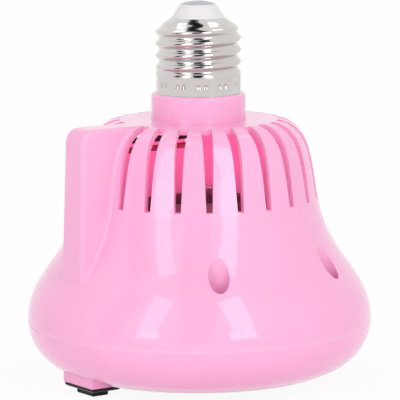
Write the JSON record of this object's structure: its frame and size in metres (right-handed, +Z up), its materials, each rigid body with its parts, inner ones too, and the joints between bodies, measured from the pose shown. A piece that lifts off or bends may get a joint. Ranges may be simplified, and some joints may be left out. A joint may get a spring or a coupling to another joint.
{
  "type": "heat lamp",
  "caption": "Bell-shaped plastic heat lamp with an Edison screw cap, a slotted dome, a fan heater inside, a side wiring box and a rocker switch under the rim.",
  "frame": {"origin": "tip of the centre contact on the screw cap", "axes": "+Z up along the screw cap's axis, out of the lampholder side; the wiring box and the switch are on the -X side"},
  "size_m": [0.106, 0.106, 0.1174],
  "materials": {
    "pink_plastic": "glossy moulded plastic",
    "cap_metal": "bright nickel plate",
    "white_plastic": "glossy",
    "contact_metal": "satin",
    "screw_steel": "zinc plate",
    "switch_black": "semi-gloss",
    "fan_black": "satin moulded",
    "duct_plastic": "heat-resistant moulded",
    "terminal_brass": "plain",
    "shaft_steel": "ground",
    "bearing_bronze": "sintered",
    "stator_iron": "laminated",
    "fin_aluminium": "mill finish",
    "grille_steel": "light grey paint",
    "end_cap_plastic": "moulded",
    "cutout_metal": "plain",
    "fuse_body": "glossy",
    "black_insulation": "smooth",
    "red_insulation": "smooth"
  },
  "bodies": {
    "housing": {"bell_housing": "pink_plastic", "bottom_cover": "pink_plastic", "outlet_grille": "grille_steel", "cap_shell": "cap_metal", "cap_insulator": "white_plastic", "cap_contact": "contact_metal", "cover_screws": "screw_steel", "switch_body": "switch_black", "switch_terminal_live": "terminal_brass", "switch_terminal_load": "terminal_brass", "fan_frame": "fan_black", "fan_bearing": "bearing_bronze", "fan_stator": "stator_iron", "fan_screws": "screw_steel", "air_duct": "duct_plastic", "duct_screws": "screw_steel", "heater_end_left": "end_cap_plastic", "heater_end_right": "end_cap_plastic", "heater_fins_1": "fin_aluminium", "heater_fins_2": "fin_aluminium", "heater_fins_3": "fin_aluminium", "ptc_bar_1": "fin_aluminium", "ptc_bar_2": "fin_aluminium", "thermostat": "cutout_metal", "thermal_fuse": "fuse_body", "live_lead": "black_insulation", "neutral_lead": "red_insulation", "switch_lead": "black_insulation", "thermostat_link": "black_insulation", "fuse_link": "red_insulation"},
    "rocker": {"switch_rocker": "switch_black"},
    "fan": {"fan_rotor": "fan_black", "fan_shaft": "shaft_steel"}
  },
  "joints": [
    {"name": "rocker_tilt", "type": "hinge", "parent": "housing", "child": "rocker", "pos_m": [-0.0397, 0, -0.11202], "axis": [1, 0, 0], "range_deg": [-7, 7]},
    {"name": "fan_spin", "type": "hinge", "parent": "housing", "child": "fan", "pos_m": [0, 0, -0.07], "axis": [0, 0, 1], "continuous": true}
  ]
}
